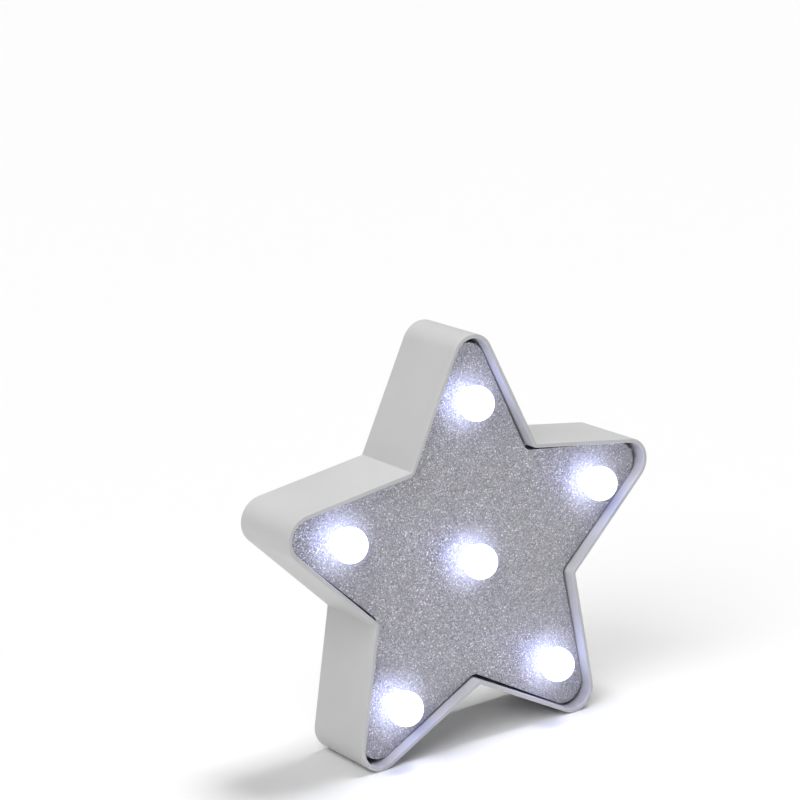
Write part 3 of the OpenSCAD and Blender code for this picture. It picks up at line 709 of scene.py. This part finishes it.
class STAR_OT_back(bpy.types.Operator):
    """Back cover with its battery bay, its screws and the battery door"""
    bl_idname = "star_light.back"
    bl_label = "Back"

    def execute(self, context):
        sizes = context.scene.back_sizes
        for node, name, body, slot in (("back_cover", "back_cover_shell", BODY, "shell"),
                                       ("battery_door", "battery_door_shell", DOOR, "door")):
            bm = merged_copy(node)
            outside = [e for e in sharp_edges(bm) if min(v.co.y for v in e.verts) > BACK - HAIR]
            round_edges(bm, outside, sizes.edge, 2)
            made = piece(name, bm, shell_material(), body, [node])
            carve(made, self.switch_marks(sizes) if node == "back_cover" else self.arrow(sizes))
        self.screws(sizes)
        return {"FINISHED"}

    def switch_marks(self, sizes):
        """Draws the on and off marks that are sunk beside the switch's pocket: a line and a ring."""
        pocket_half, clear, half_travel = 6 * MM, 2.8 * MM, 1.25 * MM
        half_width, half_height, ring_in, ring_out = 0.3 * MM, 1.4 * MM, 0.85 * MM, 1.4 * MM
        on = middle("switch_knob")
        centre_x = on.x + half_travel
        floor, above = BACK - sizes.mark_depth, BACK + MM
        line_x = centre_x - pocket_half - clear
        bm = bmesh.new()
        block(bm, (line_x - half_width, floor, on.z - half_height),
              (line_x + half_width, above, on.z + half_height))
        profile = [(ring_in, floor), (ring_out, floor), (ring_out, above), (ring_in, above), (ring_in, floor)]
        ring = Matrix.Translation((centre_x + pocket_half + clear, 0, on.z)) @ ALONG_Y
        turned(bm, profile, ring, 32)
        return bm

    def arrow(self, sizes):
        """Draws the arrow head that is sunk in the door above its grip grooves and points at the catch."""
        arrow_r, rise = 2.2 * MM, 14.5 * MM
        depth = sizes.mark_depth + MM
        spot = (middle("battery_door").x, BACK + MM - depth / 2, low("battery_door").z + rise)
        bm = bmesh.new()
        bmesh.ops.create_cone(bm, cap_ends=True, segments=3, radius1=arrow_r, radius2=arrow_r, depth=depth,
                              matrix=Matrix.Translation(spot) @ ALONG_Y)
        return bm

    def screws(self, sizes):
        """Makes the five cover screws, with domed heads and a cross recess."""
        star = bpy.context.scene.star_sizes
        wing_reach, wing_half, wing_depth, segments = 1.45 * MM, 0.32 * MM, 1.2 * MM, 32
        head_r, head_h = sizes.head_r, sizes.head_h
        seat = high("cover_screws").y - head_h
        profile = self.screw_profile(sizes, low("cover_screws").y, seat)
        screws, cross = bmesh.new(), bmesh.new()
        for arm in range(ARMS):
            spot = at_depth(0) + polar(tip_centre(star, 0, star.tip_round), arm_angle(arm))
            turned(screws, profile, Matrix.Translation(spot) @ ALONG_Y, segments)
            for turn in (20, 110):
                wing = block(cross, (-wing_reach, seat + head_h - wing_depth, -wing_half),
                             (wing_reach, seat + 2 * head_h, wing_half))
                place = Matrix.Translation(spot) @ Matrix.Rotation(math.radians(turn), 4, "Y")
                bmesh.ops.transform(cross, matrix=place, verts=wing)
        made = piece("cover_screw_set", screws, plated_steel("zinc_plated_steel", linear("#BFC2C6"), 0.32),
                     stands_for=["cover_screws"])
        carve(made, cross)

    def screw_profile(self, sizes, tip, seat):
        """Returns a screw's outline from its tip to its domed head, with a ring for each turn of thread."""
        head_r, head_h, shank, pitch = sizes.head_r, sizes.head_h, sizes.shank_r, sizes.thread_pitch
        root, neck, lip, brim = shank * 0.78, shank * 0.9, 0.1 * MM, 0.5 * MM
        point_h, thread_from, plain_h = 0.4 * MM, 1.5 * MM, 2 * MM
        profile = [(0, tip), (root * 0.4, tip + point_h)]
        for turn in range(int((seat - tip - plain_h) / pitch)):
            start = tip + thread_from + turn * pitch
            grown = min(1.0, 0.55 + 0.2 * turn)
            profile += [(root * grown, start), (shank * grown, start + 0.4 * pitch),
                        (root * grown, start + 0.7 * pitch)]
        profile += [(neck, seat - lip), (neck, seat), (head_r - lip, seat), (head_r, seat + lip)]
        for angle in range(0, 90, 10):
            turn = math.radians(angle)
            profile.append((head_r * math.cos(turn) ** 0.55, seat + brim + (head_h - brim) * math.sin(turn)))
        return profile + [(0, seat + head_h)]


class STAR_OT_battery(bpy.types.Operator):
    """Two AA cells with their contacts and springs"""
    bl_idname = "star_light.battery"
    bl_label = "Cells and contacts"

    def execute(self, context):
        nickel = plated_steel("nickel_plated_steel", linear("#C8C6C0"), 0.25)
        finish_nodes(nickel, "plus_contact", "minus_contact", "bridge_contact")
        for node, way in (("cell_upper", 1), ("cell_lower", -1)):
            self.cell(node, way, nickel)
        self.spring("minus_spring", -1, nickel)
        self.spring("bridge_spring", 1, nickel)
        return {"FINISHED"}

    def cell(self, node, way, nickel):
        """Makes one AA cell: a steel can in a shrunk printed sleeve."""
        a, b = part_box(node)
        reach, radius = b.x - a.x, (b.z - a.z) / 2
        button_h, button_r, button_round = 1.4 * MM, 2.75 * MM, 0.3 * MM
        soft, film, dent, lap = 0.6 * MM, 0.2 * MM, 0.25 * MM, 1.1 * MM
        top = reach - button_h
        sunk = top - button_round
        profile = [(0, dent), (radius * 0.55, dent), (radius * 0.6, 0), (radius - lap - button_round, 0),
                   (radius - lap, film)]
        profile += quarter((radius - soft, soft), soft, -90, 90, 4)
        profile += quarter((radius - soft, top - soft), soft, 0, 90, 4)
        profile += [(radius - lap - 0.5 * MM, top), (radius - lap - 0.7 * MM, sunk),
                    (button_r + 0.5 * MM, sunk), (button_r, top - 0.1 * MM), (button_r, reach - button_round),
                    (button_r - button_round, reach), (0, reach)]
        turn = Matrix.Identity(4) if way > 0 else Matrix.Rotation(math.pi, 4, "Z")
        start = Vector((a.x if way > 0 else b.x, (a.y + b.y) / 2, (a.z + b.z) / 2))
        bm = bmesh.new()
        turned(bm, profile, Matrix.Translation(start) @ turn @ ALONG_X, 64)
        blue, silver, gloss = linear("#1D3F7A"), linear("#C9CCD2"), 0.28
        sleeve = printed_bands(f"printed_sleeve_{node}", (way, 0, 0), start, [
            (0, blue), (38, silver), (39.5, blue), (44, silver), (reach / MM, silver)], gloss)
        made = piece(f"{node}_can", bm, sleeve, stands_for=[node])
        made.data.materials.append(nickel)
        bare_r = radius - lap - 0.4 * MM
        for face in made.data.polygons:
            spot = face.center - start
            if math.hypot(spot.y, spot.z) < bare_r and not soft < way * spot.x < top - soft:
                face.material_index = 1

    def spring(self, node, way, nickel):
        """Makes one cone-shaped coil spring of round wire, widest at its contact."""
        a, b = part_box(node)
        wire = bpy.context.scene.back_sizes.spring_wire
        wide, narrow, turns, flat_turns, steps = 4.2 * MM, 2.6 * MM, 4, 0.75, 24
        rise = b.x - a.x - 2 * wire
        start = Vector((a.x + wire if way > 0 else b.x - wire, (a.y + b.y) / 2, (a.z + b.z) / 2))
        line = bpy.data.curves.new(node, "CURVE")
        line.dimensions = "3D"
        line.bevel_depth = wire
        line.bevel_resolution = 3
        line.use_fill_caps = True
        spline = line.splines.new("POLY")
        spline.points.add(turns * steps)
        for i, point in enumerate(spline.points):
            share = i / (turns * steps)
            climb = rise * min(1.0, max(0.0, (share * turns - flat_turns) / (turns - 2 * flat_turns)))
            angle = math.tau * share * turns
            reach = wide + (narrow - wide) * share
            point.co = (start.x + way * climb, start.y + reach * math.cos(angle),
                        start.z + reach * math.sin(angle), 1)
        holder = bpy.data.objects.new("coil", line)
        bpy.context.scene.collection.objects.link(holder)
        graph = bpy.context.evaluated_depsgraph_get()
        mesh = bpy.data.meshes.new_from_object(holder.evaluated_get(graph), depsgraph=graph)
        bpy.data.objects.remove(holder)
        bm = bmesh.new()
        bm.from_mesh(mesh)
        bpy.data.meshes.remove(mesh)
        bmesh.ops.remove_doubles(bm, verts=bm.verts, dist=1e-7)
        piece(f"{node}_coil", bm, nickel, stands_for=[node])


class STAR_OT_switch(bpy.types.Operator):
    """Slide switch, and the knob that shows in its pocket"""
    bl_idname = "star_light.switch"
    bl_label = "Switch"

    def execute(self, context):
        tin = plated_steel("tin_plated_steel", linear("#C4C6C8"), 0.33)
        finish_nodes(tin, "switch_can", "switch_terminals", "switch_screws", "switch_clip")
        phenolic = fibres_or_cells("phenolic_paper_brown", linear("#5A3820"), linear("#6F4A2C"), 0.4, 0.5)
        finish_nodes(phenolic, "switch_base")
        black = moulded_abs("moulded_knob_black", linear("#1A1A1C"), 0.4)
        piece("switch_knob_ridged", self.knob(), black, SLIDER, ["switch_knob"])
        return {"FINISHED"}

    def knob(self):
        """Draws the knob: a foot inside the switch, and a stem whose end is ridged across its travel."""
        stem_h, bite, groove, bands, soft = 3.9 * MM, 0.2 * MM, 0.35 * MM, 7, 0.1 * MM
        half_x, half_z = 1.8 * MM, 1.7 * MM
        a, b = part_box("switch_knob")
        knob_x, knob_z = (a.x + b.x) / 2, (a.z + b.z) / 2
        foot_top = b.y - stem_h
        bm = bmesh.new()
        block(bm, (a.x, a.y, a.z), (b.x, foot_top, b.z))
        outline = [(knob_x - half_x, foot_top - bite)]
        for band in range(bands):
            level = b.y - groove * (band % 2)
            outline += [(knob_x + half_x * (2 * side / bands - 1), level) for side in (band, band + 1)]
        outline += [(knob_x + half_x, foot_top - bite)]
        end = bm.faces.new([bm.verts.new((x, y, knob_z - half_z)) for x, y in outline])
        extrude(bm, [end], (0, 0, 2 * half_z))
        round_edges(bm, sharp_edges(bm), soft, 2)
        return bm


class STAR_OT_wiring(bpy.types.Operator):
    """Wires and the resistor"""
    bl_idname = "star_light.wiring"
    bl_label = "Wiring"

    def execute(self, context):
        red = moulded_abs("pvc_insulation_red", linear("#B3221E"), 0.38, 0.4)
        black = moulded_abs("pvc_insulation_black", linear("#1B1B1D"), 0.38, 0.4)
        finish_nodes(red, "wire_cell_to_switch", "wire_switch_to_resistor", "wire_resistor_to_leds",
                     "wires_plus")
        finish_nodes(black, "wire_cell_to_leds", "wires_minus")
        finish_nodes(self.resistor_lacquer(), "resistor")
        return {"FINISHED"}

    def resistor_lacquer(self):
        """Makes the resistor's buff lacquer with its colour bands, along the body in the node's middle."""
        body_mm = 6.4
        a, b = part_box("resistor")
        along = (Vector((b.x, 0, b.z)) - Vector((a.x, 0, a.z))).normalized()
        start = (a + b) / 2 - along * body_mm / 2 * MM
        buff, brown, black, gold = [linear(c) for c in ("#CDBB92", "#8C4A1E", "#1C1C1C", "#B8913A")]
        return printed_bands("lacquered_resistor", along, start, [
            (0, buff), (0.9, brown), (1.5, buff), (2.2, black), (2.8, buff), (3.4, black), (4.0, buff),
            (5.0, gold), (5.6, buff), (body_mm, buff)])


class STAR_OT_stage(bpy.types.Operator):
    """Pale floor, soft lights and the camera"""
    bl_idname = "star_light.stage"
    bl_label = "Stage"

    def execute(self, context):
        scene = context.scene
        settings = scene.stage_settings
        scene.view_settings.view_transform = "Standard"
        scene.view_settings.look = "None"
        self.floor(settings)
        scene.world = bpy.data.worlds.new("soft white")
        scene.world.use_nodes = True
        connect(scene.world.node_tree.nodes["Background"], {"Color": (1, 1, 1, 1), "Strength": settings.sky})
        self.light("overhead", (0.22, -0.02, 1.0), 16, 0.6)
        self.light("front", (-0.62, -0.34, 0.75), 40, 0.58)
        self.light("back", (0.4, 0.9, 0.2), 60, 0.08)
        self.camera(scene, settings)
        return {"FINISHED"}

    def floor(self, settings):
        """Lays a plain floor at the star's feet, so large that its end is out of sight."""
        half_size = 60.0
        bm = bmesh.new()
        bmesh.ops.create_grid(bm, x_segments=1, y_segments=1, size=half_size)
        mesh = bpy.data.meshes.new("floor")
        bm.to_mesh(mesh)
        bm.free()
        material = start_material("plain_floor", {"Roughness": 0.8, "Base Color": settings.floor[:]})[0]
        mesh.materials.append(material)
        made = bpy.data.objects.new("floor", mesh)
        bpy.context.scene.collection.objects.link(made)

    def light(self, name, way, spread, share):
        """Adds a far, wide, soft light. Its share is how much of full white it gives a face turned to it."""
        data = bpy.data.lights.new(name, "SUN")
        data.angle = math.radians(spread)
        data.energy = share * math.pi
        made = bpy.data.objects.new(name, data)
        made.rotation_euler = Vector(way).to_track_quat("Z", "Y").to_euler()
        bpy.context.scene.collection.objects.link(made)

    def camera(self, scene, s):
        """Puts the camera on its orbit and turns it by the roll."""
        level = math.cos(s.elevation)
        back = Vector((math.sin(s.azimuth) * level, -math.cos(s.azimuth) * level, math.sin(s.elevation)))
        right = Vector((math.cos(s.azimuth), math.sin(s.azimuth), 0))
        up = back.cross(right)
        across = math.cos(s.roll) * right + math.sin(s.roll) * up
        upward = math.cos(s.roll) * up - math.sin(s.roll) * right
        aim = at_depth(RIM) + Vector((s.aim_x, 0, s.aim_z))
        place = Matrix((across, upward, back)).transposed().to_4x4()
        place.translation = aim + back * s.distance
        data = bpy.data.cameras.new("camera")
        data.lens = s.lens
        data.clip_start, data.clip_end = 0.01, 200
        made = bpy.data.objects.new("camera", data)
        made.matrix_world = place
        scene.collection.objects.link(made)
        scene.camera = made


class STAR_PT_panel(bpy.types.Panel):
    """Lists the star light's sizes, colours and steps"""
    bl_idname = "STAR_PT_panel"
    bl_label = "Star light"
    bl_space_type = "VIEW_3D"
    bl_region_type = "UI"
    bl_category = "Star light"

    def draw(self, context):
        for name, group in GROUPS.items():
            box = self.layout.box()
            for field in group.bl_rna.properties.keys():
                if field not in ("rna_type", "name"):
                    box.prop(getattr(context.scene, name), field)
        for operator in OPERATORS:
            self.layout.operator(operator.bl_idname)


GROUPS = {"star_sizes": StarSizes, "globe_sizes": GlobeSizes, "back_sizes": BackSizes,
          "star_finish": StarFinish, "stage_settings": StageSettings}
OPERATORS = [STAR_OT_stage, STAR_OT_housing, STAR_OT_face, STAR_OT_globes, STAR_OT_lamps, STAR_OT_back,
             STAR_OT_battery, STAR_OT_switch, STAR_OT_wiring]


def register():
    """Registers the classes and puts the settings on the scene."""
    for kind in [*GROUPS.values(), *OPERATORS, STAR_PT_panel]:
        bpy.utils.register_class(kind)
    for name, group in GROUPS.items():
        setattr(bpy.types.Scene, name, PointerProperty(type=group))


def unregister():
    """Takes the settings and the classes away again."""
    for name in GROUPS:
        delattr(bpy.types.Scene, name)
    for kind in [STAR_PT_panel, *reversed(OPERATORS), *reversed(GROUPS.values())]:
        bpy.utils.unregister_class(kind)


def main():
    """Builds the stage and every piece."""
    register()
    for operator in OPERATORS:
        group, name = operator.bl_idname.split(".")
        getattr(getattr(bpy.ops, group), name)()


if __name__ == "__main__":
    main()
